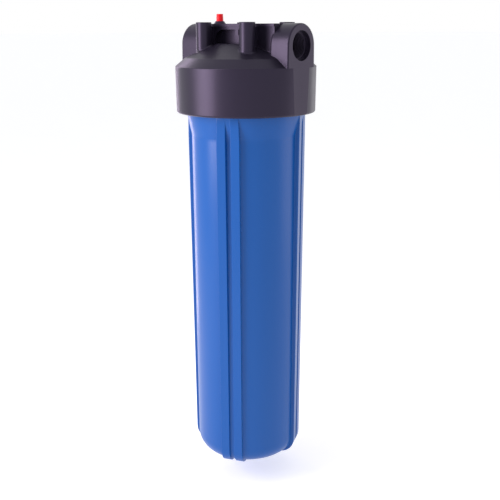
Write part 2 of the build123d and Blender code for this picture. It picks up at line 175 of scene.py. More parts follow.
@dataclass(frozen=True)
class MouldedPlastic(Finish):
    """Injection-moulded thermoplastic.

    Flow from the gate gives long faint clouds in colour and gloss, the mould's spark-eroded
    face gives a fine grain, cooling gives a slow waviness, and handling a few pale scuffs.
    """

    name: str
    colour: str
    cloud_colour: str
    roughness: float
    gloss_spread: float
    specular: float = 0.5
    tint: str = "#ffffff"
    grain_mm: float = 0.9
    grain_depth_mm: float = 0.02
    wave_mm: float = 34.0
    wave_depth_mm: float = 0.25
    cloud_mm: float = 42.0
    scuff_mm: float = 5.0
    scuff_lift: float = 0.10
    ior: float = 1.49
    translucency: float = 0.0

    def shader(self, tree: bpy.types.NodeTree, coords: bpy.types.NodeSocket) -> bpy.types.Node:
        """Principled shader with flow clouds, mould grain, waviness and scuffs.

        Args:
            tree: The material's node tree.
            coords: Object coordinates, in metres.

        Returns:
            The shader node.
        """
        along = add(tree, "ShaderNodeMapping", {"Vector": coords, "Scale": (1.0, 1.0, 0.22)})
        cloud = noise(tree, along.outputs[0], self.cloud_mm, 3.0)
        across = add(tree, "ShaderNodeMapping", {
            "Vector": coords, "Rotation": (0.5, 0.3, 0.8), "Scale": (1.0, 0.16, 1.0)})
        scuff = noise(tree, across.outputs[0], self.scuff_mm, 6.0, Roughness=0.65)
        scuffed = add(tree, "ShaderNodeMapRange", {"Value": scuff, "From Min": 0.60, "From Max": 0.78})
        dulled = add(tree, "ShaderNodeMapRange", {
            "Value": cloud, "From Min": 0.3, "From Max": 0.7,
            "To Min": self.roughness - self.gloss_spread,
            "To Max": self.roughness + self.gloss_spread})
        rough = add(tree, "ShaderNodeMath", {
            0: scuffed.outputs[0], 1: self.scuff_lift, 2: dulled.outputs[0]},
            operation="MULTIPLY_ADD", use_clamp=True)
        slow = add(tree, "ShaderNodeBump", {
            "Height": noise(tree, coords, self.wave_mm, 1.0), "Strength": 0.5,
            "Distance": self.wave_depth_mm * MM})
        fine = add(tree, "ShaderNodeBump", {
            "Height": noise(tree, coords, self.grain_mm, 2.0), "Strength": 0.5,
            "Distance": self.grain_depth_mm * MM, "Normal": slow.outputs[0]})
        return add(tree, "ShaderNodeBsdfPrincipled", {
            "Base Color": mottled(tree, cloud, self.colour, self.cloud_colour),
            "Roughness": rough.outputs[0], "IOR": self.ior,
            "Specular IOR Level": self.specular, "Specular Tint": linear(self.tint),
            "Subsurface Weight": self.translucency, "Subsurface Radius": (0.4, 0.7, 1.0),
            "Subsurface Scale": 2.0 * MM, "Normal": fine.outputs[0]})


@dataclass(frozen=True)
class NitrileRubber(Finish):
    """Moulded seal rubber: deep black, almost no gloss, with a faint bloom of dust."""

    name: str = "nitrile_rubber"
    colour: str = "#151517"
    bloom: str = "#2b2b2c"
    bloom_mm: float = 3.0

    def shader(self, tree: bpy.types.NodeTree, coords: bpy.types.NodeSocket) -> bpy.types.Node:
        """Dull shader with a powdery bloom.

        Args:
            tree: The material's node tree.
            coords: Object coordinates, in metres.

        Returns:
            The shader node.
        """
        dust = noise(tree, coords, self.bloom_mm, 5.0, Roughness=0.7)
        rough = add(tree, "ShaderNodeMapRange", {"Value": dust, "To Min": 0.55, "To Max": 0.85})
        bump = add(tree, "ShaderNodeBump", {"Height": dust, "Strength": 0.3, "Distance": 0.03 * MM})
        return add(tree, "ShaderNodeBsdfPrincipled", {
            "Base Color": mottled(tree, dust, self.colour, self.bloom),
            "Roughness": rough.outputs[0], "IOR": 1.52, "Normal": bump.outputs[0]})


@dataclass(frozen=True)
class DrawnSteel(Finish):
    """Drawn stainless steel wire and rod: bright grey metal, streaked along its length."""

    name: str = "drawn_stainless_steel"
    colour: str = "#b9bab8"
    streak_colour: str = "#8f908e"
    streak_mm: float = 0.5

    def shader(self, tree: bpy.types.NodeTree, coords: bpy.types.NodeSocket) -> bpy.types.Node:
        """Metal shader with drawing streaks in its roughness.

        Args:
            tree: The material's node tree.
            coords: Object coordinates, in metres.

        Returns:
            The shader node.
        """
        along = add(tree, "ShaderNodeMapping", {"Vector": coords, "Scale": (1.0, 1.0, 0.08)})
        streak = noise(tree, along.outputs[0], self.streak_mm, 4.0)
        rough = add(tree, "ShaderNodeMapRange", {"Value": streak, "To Min": 0.18, "To Max": 0.42})
        return add(tree, "ShaderNodeBsdfPrincipled", {
            "Base Color": mottled(tree, streak, self.streak_colour, self.colour),
            "Roughness": rough.outputs[0], "Metallic": 1.0})


@dataclass(frozen=True)
class SpunPolyester(Finish):
    """Calendered spun-bonded polyester: soft white paper-like sheet with matted fibres.

    Real fibres are 0.02 mm thick; they are drawn as 0.5 mm clumps so that they show.
    """

    name: str = "spun_bonded_polyester"
    colour: str = "#efefe9"
    fibre_colour: str = "#d6d8d4"
    fibre_mm: float = 0.5

    def shader(self, tree: bpy.types.NodeTree, coords: bpy.types.NodeSocket) -> bpy.types.Node:
        """Cloth-like shader with crossed fibres.

        Args:
            tree: The material's node tree.
            coords: Object coordinates, in metres.

        Returns:
            The shader node.
        """
        lay = add(tree, "ShaderNodeMapping", {"Vector": coords, "Scale": (1.0, 1.0, 0.25)})
        fibre = noise(tree, lay.outputs[0], self.fibre_mm, 6.0, Roughness=0.75, Distortion=0.6)
        bump = add(tree, "ShaderNodeBump", {"Height": fibre, "Strength": 0.6, "Distance": 0.08 * MM})
        return add(tree, "ShaderNodeBsdfPrincipled", {
            "Base Color": mottled(tree, fibre, self.fibre_colour, self.colour),
            "Roughness": 0.85, "Sheen Weight": 0.25, "Normal": bump.outputs[0]})


# Black polypropylene copolymer, moulded: charcoal with a violet cast and a satin sheen.
BLACK_PP = MouldedPlastic(
    name="black_moulded_polypropylene", colour="#18151f", cloud_colour="#1e1a27",
    roughness=0.36, gloss_spread=0.05, specular=0.40, tint="#e6d5ff", scuff_lift=0.08)
# Blue polypropylene copolymer, moulded: a deep even blue with a smoother gloss than the head.
BLUE_PP = MouldedPlastic(
    name="blue_moulded_polypropylene", colour="#0b4b93", cloud_colour="#0d5099",
    roughness=0.30, gloss_spread=0.03, specular=0.30, grain_mm=1.2, grain_depth_mm=0.008,
    wave_mm=60.0, cloud_mm=90.0, scuff_lift=0.05)
# Gloss acetal button: saturated red with a hard narrow highlight.
RED_ACETAL = MouldedPlastic(
    name="red_gloss_acetal", colour="#e30413", cloud_colour="#ee0a1c", roughness=0.22,
    gloss_spread=0.03, specular=0.25, grain_mm=0.6, grain_depth_mm=0.004, wave_depth_mm=0.0,
    cloud_mm=8.0, ior=1.48)
# Natural white polypropylene: milky, waxy and a little translucent.
WHITE_PP = MouldedPlastic(
    name="natural_white_polypropylene", colour="#e9eae6", cloud_colour="#dfe2e0",
    roughness=0.42, gloss_spread=0.05, cloud_mm=25.0, translucency=0.15)
# Extruded polyethylene netting: thin milky strands with a dull gloss.
NET_PE = MouldedPlastic(
    name="extruded_white_netting", colour="#f3f3f0", cloud_colour="#e6e8e6", roughness=0.5,
    gloss_spread=0.05, grain_mm=0.7, cloud_mm=12.0, translucency=0.1)
RUBBER = NitrileRubber()
STEEL = DrawnSteel()
POLYESTER = SpunPolyester()


class Slot(Enum):
    """The record's material slots."""

    BLACK = "black_polypropylene"
    BLUE = "blue_polypropylene"
    RED = "red_plastic"
    RUBBER = "black_rubber"
    STEEL = "stainless_steel"
    WHITE = "white_polypropylene"
    FABRIC = "filter_fabric"
    NET = "net_plastic"


class Hand(Enum):
    """Which way a helix climbs."""

    RIGHT = True
    LEFT = False


# --- meshes ----------------------------------------------------------------------------
def piece_from(mesh: bpy.types.Mesh, name: str, finish: Finish) -> bpy.types.Object:
    """Puts a finished mesh into the scene as a piece.

    Args:
        mesh: The mesh, already in its place.
        name: The piece's name.
        finish: Its finish.

    Returns:
        The new object, at the origin.
    """
    mesh.materials.clear()
    mesh.materials.append(finish.material())
    piece = bpy.data.objects.new(name, mesh)
    bpy.context.scene.collection.objects.link(piece)
    return piece


def settle(piece: bpy.types.Object, body: str, slot: Slot, *nodes: str) -> bpy.types.Object:
    """Declares what a piece rides on and what it stands for.

    Args:
        piece: The finished piece.
        body: The CAD body it moves with.
        slot: The record's material slot; not used.
        *nodes: CAD nodes that it replaces.

    Returns:
        The same piece.
    """
    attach(piece, body)
    if nodes:
        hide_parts(*nodes)
    LOG.info("%s: %d faces, rides on %s", piece.name, len(piece.data.polygons), body)
    return piece


def dress(nodes: dict, name: str, finish: Finish) -> None:
    """Gives a CAD node its finish.

    Args:
        nodes: The frame's nodes.
        name: The node's name.
        finish: Its finish.
    """
    mesh = nodes[name].data
    mesh.materials.clear()
    mesh.materials.append(finish.material())
    LOG.info("%s: CAD shape in %s", name, finish.name)


class Recipe:
    """A geometry node tree with named inputs that is run once and leaves a plain mesh."""

    def __init__(self, name: str) -> None:
        """Starts an empty tree.

        Args:
            name: The tree's name.
        """
        self.tree = bpy.data.node_groups.new(name, "GeometryNodeTree")
        self.entry = add(self.tree, "NodeGroupInput")
        self.values: dict = {}

    def size(self, name: str, value: float | int, kind: str = "NodeSocketFloat") -> bpy.types.NodeSocket:
        """Adds a named input.

        Args:
            name: The input's name.
            value: Its value for this object.
            kind: The socket's type.

        Returns:
            The socket inside the tree.
        """
        item = self.tree.interface.new_socket(name, in_out="INPUT", socket_type=kind)
        self.values[item.identifier] = value
        return self.entry.outputs[name]

    def math(self, operation: str, *values) -> bpy.types.NodeSocket:
        """One step of arithmetic on sockets or numbers.

        Args:
            operation: The Math node's operation.
            *values: What it works on.

        Returns:
            The result's socket.
        """
        return add(self.tree, "ShaderNodeMath", dict(enumerate(values)), operation=operation).outputs[0]

    def around(self, thing: bpy.types.NodeSocket, count: bpy.types.NodeSocket,
               spots: bpy.types.NodeSocket | None = None) -> bpy.types.NodeSocket:
        """Repeats a piece evenly about the Z axis, each turned on from the last.

        Args:
            thing: The geometry to repeat.
            count: How many there are.
            spots: The points they stand on; without any, all turn about the origin.

        Returns:
            The socket with the instances.
        """
        if spots is None:
            spots = add(self.tree, "GeometryNodeMeshLine", {
                "Count": count, "Offset": (0.0, 0.0, 0.0)}).outputs[0]
        index = add(self.tree, "GeometryNodeInputIndex").outputs[0]
        angle = self.math("DIVIDE", self.math("MULTIPLY", index, math.tau), count)
        turn = add(self.tree, "ShaderNodeCombineXYZ", {"Z": angle})
        return add(self.tree, "GeometryNodeInstanceOnPoints", {
            "Points": spots, "Instance": thing, "Rotation": turn.outputs[0]}).outputs[0]

    def run(self, geometry: bpy.types.NodeSocket, finish: Finish, name: str) -> bpy.types.Mesh:
        """Closes the tree, evaluates it and keeps the plain mesh.

        Args:
            geometry: The socket that carries the result.
            finish: The finish set in the tree.
            name: The mesh's name.

        Returns:
            The mesh, with nothing left live.
        """
        self.tree.interface.new_socket("Geometry", in_out="OUTPUT", socket_type="NodeSocketGeometry")
        real = add(self.tree, "GeometryNodeRealizeInstances", {"Geometry": geometry})
        painted = add(self.tree, "GeometryNodeSetMaterial", {
            "Geometry": real.outputs[0], "Material": finish.material()})
        add(self.tree, "NodeGroupOutput", {0: painted.outputs[0]})
        carrier = bpy.data.objects.new(name + "_carrier", bpy.data.meshes.new(name + "_carrier"))
        bpy.context.scene.collection.objects.link(carrier)
        modifier = carrier.modifiers.new("recipe", "NODES")
        modifier.node_group = self.tree
        for identifier, value in self.values.items():
            modifier[identifier] = value
        graph = bpy.context.evaluated_depsgraph_get()
        mesh = bpy.data.meshes.new_from_object(carrier.evaluated_get(graph))
        carrier.modifiers.remove(modifier)
        bpy.data.objects.remove(carrier)
        mesh.name = name
        mesh.shade_smooth()
        return mesh


@dataclass
class Helix:
    """A ridge, wire or strand that winds about the Z axis.

    Its section is given as (radial, vertical) corners in millimetres about the helix line.
    """

    name: str
    radius: float
    pitch: float
    turns: float
    start_z: float
    section: tuple
    hand: Hand = Hand.RIGHT
    steps_per_turn: int = 72
    fade_turns: float = 0.0
    copies: int = 1

    def mesh(self, finish: Finish) -> bpy.types.Mesh:
        """Runs the node tree that sweeps the section along the helix.

        Args:
            finish: The finish set in the tree.

        Returns:
            The plain mesh, in metres.
        """
        recipe = Recipe(self.name)
        radius = recipe.size("Helix radius", self.radius * MM)
        turns = recipe.size("Turns", self.turns)
        height = recipe.size("Rise", self.turns * self.pitch * MM)
        copies = recipe.size("Copies", self.copies, "NodeSocketInt")
        fade = recipe.size("Fade share", self.fade_turns / self.turns)
        line = add(recipe.tree, "GeometryNodeCurveSpiral", {
            "Resolution": self.steps_per_turn, "Rotations": turns, "Start Radius": radius,
            "End Radius": radius, "Height": height, "Reverse": self.hand.value})
        upright = add(recipe.tree, "GeometryNodeSetCurveNormal", {"Curve": line.outputs[0]}, mode="Z_UP")
        profile = self.profile(recipe)
        place = add(recipe.tree, "GeometryNodeSplineParameter").outputs["Factor"]
        near_end = recipe.math("MINIMUM", place, recipe.math("SUBTRACT", 1.0, place))
        share = recipe.math("DIVIDE", near_end, recipe.math("MAXIMUM", fade, 1e-6))
        grown = recipe.math("MINIMUM", 1.0, recipe.math("ADD", 0.02, share))
        ridge = add(recipe.tree, "GeometryNodeCurveToMesh", {
            "Curve": upright.outputs[0], "Profile Curve": profile, "Scale": grown,
            "Fill Caps": True})
        mesh = recipe.run(recipe.around(ridge.outputs[0], copies), finish, self.name)
        mesh.transform(Matrix.Translation((0.0, 0.0, self.start_z * MM)))
        return mesh

    def profile(self, recipe: Recipe) -> bpy.types.NodeSocket:
        """The closed section curve: a four-cornered ridge or a round strand.

        Args:
            recipe: The tree that takes it.

        Returns:
            The curve's socket.
        """
        if len(self.section) == 4:
            corners = {f"Point {i + 1}": (c[0] * MM, c[1] * MM, 0.0) for i, c in enumerate(self.section)}
            return add(recipe.tree, "GeometryNodeCurvePrimitiveQuadrilateral", corners,
                       mode="POINTS").outputs[0]
        radius = recipe.size("Strand radius", self.section[0] * MM)
        return add(recipe.tree, "GeometryNodeCurvePrimitiveCircle", {
            "Resolution": self.section[1], "Radius": radius}).outputs[0]


# --- bowl ------------------------------------------------------------------------------
@dataclass
class Bowl:
    """The blue bowl: a drafted cup with four pairs of upright ribs and a threaded neck."""

    foot_r: float = 71.3
    foot_corner: float = 24.0
    top_r: float = 72.4
    top_z: float = 458.0
    flare_r: float = 77.3
    flare_z: float = 482.0
    neck_r: float = 78.8
    neck_z: float = 490.0
    rim_z: float = 540.0
    wall: float = 5.6
    bore_r: float = 68.5
    bore_z: float = 486.0
    floor: float = 8.0
    rib_pairs: int = 4
    rib_angle: float = 23.0
    rib_foot_face: float = 74.0
    rib_top_face: float = 77.0
    rib_top_z: float = 485.0
    rib_corner: float = 22.0
    rib_inner: float = 3.0
    rib_outer: float = 14.4
    rib_flank: float = 0.9
    rib_blend: float = 0.8
    groove_inner: float = 70.9
    groove_outer: float = 76.3
    groove_foot_z: float = 535.9
    gate_r: float = 7.0
    gate_depth: float = 0.9
    seat_r: float = 20.0
    seat_bore: float = 15.0
    seat_z: float = 19.2
    seat_edge_z: float = 20.7
    seat_post_r: float = 12.4
    seat_post_z: float = 33.0
    thread_pitch: float = 8.0
    thread_turns: float = 3.5
    thread_z: float = 501.0
    thread_tip_r: float = 82.4
    fin_count: int = 6
    fin_reach: float = 34.6
    fin_thick: float = 3.0
    fin_height: float = 6.3
    fill_columns: int = 10
    dense_low_z: float = 400.0
    dense_high_z: float = 492.0
    dense_step: float = 1.0
    plain_step: float = 16.0

    def rounded(self, corners: list) -> np.ndarray:
        """Walks a half section and rounds its corners.

        Args:
            corners: (radius, height, rounding) for each corner.

        Returns:
            The walked points.
        """
        points = [np.array(c[:2], float) for c in corners]
        walked = [points[0]]
        for i in range(1, len(points) - 1):
            before, here, after = points[i - 1], points[i], points[i + 1]
            back, on = before - here, after - here
            reach = min(np.linalg.norm(back), np.linalg.norm(on)) * 0.49
            back, on = back / np.linalg.norm(back), on / np.linalg.norm(on)
            half = 0.5 * math.acos(float(np.clip(back @ on, -1.0, 1.0)))
            length = min(corners[i][2] / math.tan(half), reach)
            steps = max(2, int(math.ceil((math.pi - 2 * half) / math.radians(6.0))))
            for k in range(steps + 1):
                share = k / steps
                turn = (share - 0.5) * (math.pi - 2 * half)
                radius = length * math.tan(half)
                middle = here + (back + on) / np.linalg.norm(back + on) * radius / math.sin(half)
                axis = (here - middle) / np.linalg.norm(here - middle)
                side = (on - back) / np.linalg.norm(on - back)
                walked.append(middle + radius * (axis * math.cos(turn) + side * math.sin(turn)))
        walked.append(points[-1])
        return np.array(walked)

    def held(self, walked: np.ndarray) -> np.ndarray:
        """Adds rows on long stretches, close to their ends and evenly between.

        Args:
            walked: Points along the half section.

        Returns:
            The denser walk.
        """
        rows = [walked[0]]
        for here, there in zip(walked[:-1], walked[1:]):
            length = float(np.linalg.norm(there - here))
            if length < 1e-6:
                continue
            if length > 1.2:
                outside = max(here[0], there[0]) > self.top_r - 1.4
                low, high = sorted((here[1], there[1]))
                dense = outside and low > self.dense_low_z and high < self.dense_high_z
                step = self.dense_step if dense else self.plain_step
                count = max(1, int(length // step))
                shares = np.linspace(0.0, 1.0, count + 1)[1:-1]
                hold = 0.35 / length
                shares = np.unique(np.concatenate([[hold], shares, [1.0 - hold]]))
                rows.extend(here + (there - here) * s for s in shares)
            rows.append(there)
        return np.array(rows)

    def half_section(self) -> np.ndarray:
        """The whole half section, from the middle of the underside round to the floor's middle.

        Returns:
            (radius, height) rows in millimetres.
        """
        inner_foot = self.foot_r - self.wall
        inner_top = self.top_r - self.wall
        corners = [
            (0.0, self.gate_depth, 0), (self.gate_r, self.gate_depth, 0.5),
            (self.gate_r + 1.2, 0.0, 0.6),
            (self.foot_r, 0.0, self.foot_corner), (self.top_r, self.top_z, 30.0),
            (self.flare_r, self.flare_z, 15.0), (self.neck_r, self.neck_z, 1.0),
            (self.neck_r, self.rim_z, 0.8), (self.groove_outer, self.rim_z, 0.3),
            (self.groove_outer, self.groove_foot_z, 0.5), (self.groove_inner, self.groove_foot_z, 0.5),
            (self.groove_inner, self.rim_z, 0.3), (self.bore_r, self.rim_z, 0.8),
            (self.bore_r, self.bore_z, 2.0), (inner_top, self.top_z, 10.0),
            (inner_foot, self.floor, 20.0), (self.seat_r, self.floor, 1.0),
            (self.seat_r, self.seat_z, 0.5), (self.seat_r - 2.0, self.seat_z, 0.2),
            (self.seat_bore + 1.5, self.seat_edge_z, 0.3), (self.seat_bore, self.seat_z, 0.3),
            (self.seat_bore, self.floor, 0.5), (self.seat_post_r, self.floor, 0.5),
            (self.seat_post_r, self.seat_post_z, 0.8), (0.0, self.seat_post_z, 0),
        ]
        return self.held(self.rounded(corners))

    def columns(self) -> list:
        """Where the upright lines of the mesh run, for one pair of ribs.

        Returns:
            ("across", millimetres) beside the ribs and ("fill", share) over the plain wall.
        """
        close = (-1.2, -0.8, -0.5, -0.3, -0.1, 0.1, 0.3, 0.5, 0.8, 1.2)
        half = [self.rib_inner + d for d in close]
        half += [5.6, 8.7, 11.8]
        half += [self.rib_outer + d for d in close]
        across = sorted([-t for t in half] + [0.0] + half)
        shares = [k / self.fill_columns for k in range(1, self.fill_columns + 1)]
        left = [("fill", -s) for s in reversed(shares[:-1])]
        right = [("fill", s) for s in shares]
        return left + [("across", t) for t in across] + right

    def lift(self, rows: np.ndarray, swing: np.ndarray) -> np.ndarray:
        """How far the ribs' flat faces stand off the plain wall, along its normal.

        Args:
            rows: (radius, height) of each row.
            swing: Angle of each point from its pair's middle, rows by columns.

        Returns:
            The distances in millimetres, negative where the wall is proud of the face.
        """
        along = np.gradient(rows, axis=0)
        along /= np.linalg.norm(along, axis=1)[:, None]
        out_r, out_z = along[:, 1][:, None], -along[:, 0][:, None]
        low = np.full(swing.shape, -4.0)
        high = np.full(swing.shape, 9.0)
        corner_q = self.rib_foot_face - self.rib_corner
        for _ in range(26):
            middle = 0.5 * (low + high)
            q = (rows[:, 0][:, None] + middle * out_r) * np.cos(swing)
            z = rows[:, 1][:, None] + middle * out_z
            lean = (self.rib_top_face - self.rib_foot_face) * z / self.rib_top_z
            flat = np.minimum(self.rib_foot_face + lean - q, z)
            bend = self.rib_corner - np.hypot(q - corner_q, z - self.rib_corner)
            in_corner = (q > corner_q) & (z < self.rib_corner)
            inside = np.where(in_corner, bend, flat) > 0
            low = np.where(inside, middle, low)
            high = np.where(inside, high, middle)
        return low

    def mesh(self) -> bpy.types.Mesh:
        """Builds the closed cup with its ribs.

        Returns:
            The mesh in metres.
        """
        rows = self.half_section()
        columns = self.columns()
        radius = np.maximum(rows[:, 0], 40.0)
        edge = np.arcsin(np.minimum((self.rib_outer + 1.2) / radius, 1.0))
        quarter = math.pi / self.rib_pairs
        swing = np.zeros((len(rows), len(columns)))
        across = np.zeros(len(columns))
        for k, (kind, value) in enumerate(columns):
            if kind == "across":
                swing[:, k] = np.arcsin(value / radius)
                across[k] = abs(value)
            else:
                swing[:, k] = np.sign(value) * (edge + abs(value) * (quarter - edge))
                across[k] = 99.0
        outside = np.arange(len(rows)) <= int(np.argmax(rows[:, 1] > self.neck_z))
        reach = self.lift(rows, swing)
        blend = self.rib_blend * smooth((rows[:, 1] - self.dense_low_z) / 50.0)[:, None]
        reach = 0.5 * (reach + np.sqrt(reach * reach + blend * blend))
        flank = self.rib_flank
        on_rib = smooth((across - self.rib_inner + flank / 2) / flank)
        on_rib *= smooth((self.rib_outer + flank / 2 - across) / flank)
        fade = np.where(outside, smooth((self.rib_top_z + 2.0 - rows[:, 1]) / 4.0), 0.0)[:, None]
        reach = np.where(outside[:, None], reach, 0.0) * on_rib[None, :] * fade
        along = np.gradient(rows, axis=0)
        along /= np.linalg.norm(along, axis=1)[:, None]
        r = rows[:, 0][:, None] + reach * along[:, 1][:, None]
        z = np.maximum(rows[:, 1][:, None] - reach * along[:, 0][:, None], 0.0)
        rings = []
        for pair in range(self.rib_pairs):
            turn = math.radians(self.rib_angle) + 2 * quarter * pair
            rings.append(np.stack([r * np.cos(swing + turn), r * np.sin(swing + turn), z], -1))
        grid = np.concatenate(rings, axis=1)
        return self.skin(grid)

    def skin(self, grid: np.ndarray) -> bpy.types.Mesh:
        """Closes the grid of points into a mesh with a pole at each end.

        Args:
            grid: Rows by columns of points in millimetres; the end rows lie on the axis.

        Returns:
            The mesh in metres.
        """
        inner = grid[1:-1]
        count, around = inner.shape[:2]
        verts = [tuple(grid[0, 0] * MM)] + [tuple(p) for p in (inner.reshape(-1, 3) * MM)]
        verts.append(tuple(grid[-1, 0] * MM))
        faces = []
        for j in range(around):
            after = (j + 1) % around
            faces.append((0, 1 + after, 1 + j))
            for i in range(count - 1):
                a, b = 1 + i * around, 1 + (i + 1) * around
                faces.append((a + j, a + after, b + after, b + j))
            last = 1 + (count - 1) * around
            faces.append((last + j, last + after, len(verts) - 1))
        mesh = bpy.data.meshes.new("bowl")
        mesh.from_pydata(verts, [], faces)
        mesh.validate()
        mesh.shade_smooth()
        return mesh

    def thread(self) -> bpy.types.Mesh:
        """The coarse thread round the neck.

        Returns:
            The mesh in metres.
        """
        root_r = self.neck_r - 0.3
        depth = self.thread_tip_r - root_r
        section = ((0.0, -2.1), (depth, -1.0), (depth, 1.0), (0.0, 2.1))
        ridge = Helix("neck_thread", root_r, self.thread_pitch, self.thread_turns, self.thread_z,
                      section, fade_turns=0.08)
        return ridge.mesh(BLUE_PP)

    def fins(self) -> bpy.types.Mesh:
        """Six low fins on the floor that hold the cartridge's seat upright.

        Returns:
            The mesh in metres.
        """
        recipe = Recipe("floor_fins")
        count = recipe.size("Fins", self.fin_count, "NodeSocketInt")
        length = recipe.size("Reach", self.fin_reach * MM)
        thick = recipe.size("Thickness", self.fin_thick * MM)
        height = recipe.size("Height", self.fin_height * MM)
        size = add(recipe.tree, "ShaderNodeCombineXYZ", {"X": length, "Y": thick, "Z": height})
        fin = add(recipe.tree, "GeometryNodeMeshCube", {
            "Size": size.outputs[0], "Vertices X": 12, "Vertices Y": 3, "Vertices Z": 3})
        out = recipe.math("ADD", (self.seat_r - 0.3) * MM, recipe.math("MULTIPLY", length, 0.5))
        up = recipe.math("ADD", (self.floor - 0.3) * MM, recipe.math("MULTIPLY", height, 0.5))
        spot = add(recipe.tree, "ShaderNodeCombineXYZ", {"X": out, "Z": up})
        moved = add(recipe.tree, "GeometryNodeTransform", {
            "Geometry": fin.outputs[0], "Translation": spot.outputs[0]})
        mesh = recipe.run(recipe.around(moved.outputs[0], count), BLUE_PP, "floor_fins")
        mesh.shade_flat()
        return mesh

    def dress(self, nodes: dict) -> None:
        """Places the bowl's pieces and finishes its seal ring.

        Args:
            nodes: The frame's nodes.
        """
        for name, make in (("bowl", self.mesh), ("bowl_thread", self.thread), ("bowl_fins", self.fins)):
            settle(piece_from(make(), name, BLUE_PP), "sump", Slot.BLUE, "sump")
        dress(nodes, "sump_seal_ring", RUBBER)


# --- head ------------------------------------------------------------------------------
@dataclass
class Head:
    """The black head: its CAD moulding in several nodes, and the fine thread in each port."""

    port_z: float = 572.8
    thread_r: float = 16.6
    tip_r: float = 15.15
    thread_pitch: float = 2.309
    thread_start_x: float = 66.6
    thread_turns: float = 7.9

    def port_thread(self) -> bpy.types.Mesh:
        """One port's thread, wound about the port's axis on the +X side.

        Returns:
            The mesh in metres.
        """
        depth = self.thread_r + 0.2 - self.tip_r
        section = ((0.0, -1.1), (-depth, -0.25), (-depth, 0.25), (0.0, 1.1))
        ridge = Helix("port_thread", self.thread_r + 0.2, self.thread_pitch, self.thread_turns, 0.0,
                      section, steps_per_turn=56, fade_turns=0.3)
        mesh = ridge.mesh(BLACK_PP)
        lay = Matrix.Rotation(math.radians(90.0), 4, "Y")
        mesh.transform(Matrix.Translation((self.thread_start_x * MM, 0.0, self.port_z * MM)) @ lay)
        return mesh

    def dress(self, nodes: dict) -> None:
        """Finishes the head and adds both port threads.

        Args:
            nodes: The frame's nodes.
        """
        for name in nodes:
            if name.startswith("head"):
                dress(nodes, name, BLACK_PP)
        outlet = self.port_thread()
        inlet = outlet.copy()
        inlet.transform(Matrix.Rotation(math.pi, 4, "Z"))
        for name, mesh in (("outlet_thread", outlet), ("inlet_thread", inlet)):
            settle(piece_from(mesh, name, BLACK_PP), "head", Slot.BLACK)


# --- pressure relief valve -------------------------------------------------------------
@dataclass
class ReliefValve:
    """The red push button with its collar, stem, seals and spring."""

    axis_x: float = -45.0
    spring_r: float = 3.6
    wire_r: float = 0.35
    spring_low: float = 592.0
    spring_high: float = 598.7
    spring_turns: float = 4.5
    anchor_z: float = 591.65
    pressed_share: float = 0.6

    def spring(self) -> bpy.types.Mesh:
        """The coil spring at rest.

        Returns:
            The mesh in metres.
        """
        rise = (self.spring_high - self.spring_low) / self.spring_turns
        wire = Helix("relief_coil", self.spring_r, rise, self.spring_turns, self.spring_low,
                     (self.wire_r, 12), steps_per_turn=40)
        mesh = wire.mesh(STEEL)
        mesh.transform(Matrix.Translation((self.axis_x * MM, 0.0, 0.0)))
        return mesh

    def dress(self, nodes: dict) -> None:
        """Finishes the valve's CAD pieces and fits the spring.

        Args:
            nodes: The frame's nodes.
        """
        dress(nodes, "relief_bushing", BLACK_PP)
        dress(nodes, "relief_button", RED_ACETAL)
        dress(nodes, "relief_stem", STEEL)
        dress(nodes, "relief_valve_seal", RUBBER)
        dress(nodes, "relief_bushing_seal", RUBBER)
        coil = piece_from(self.spring(), "relief_coil", STEEL)
        settle(coil, "head", Slot.STEEL, "relief_spring")
        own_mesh(coil)


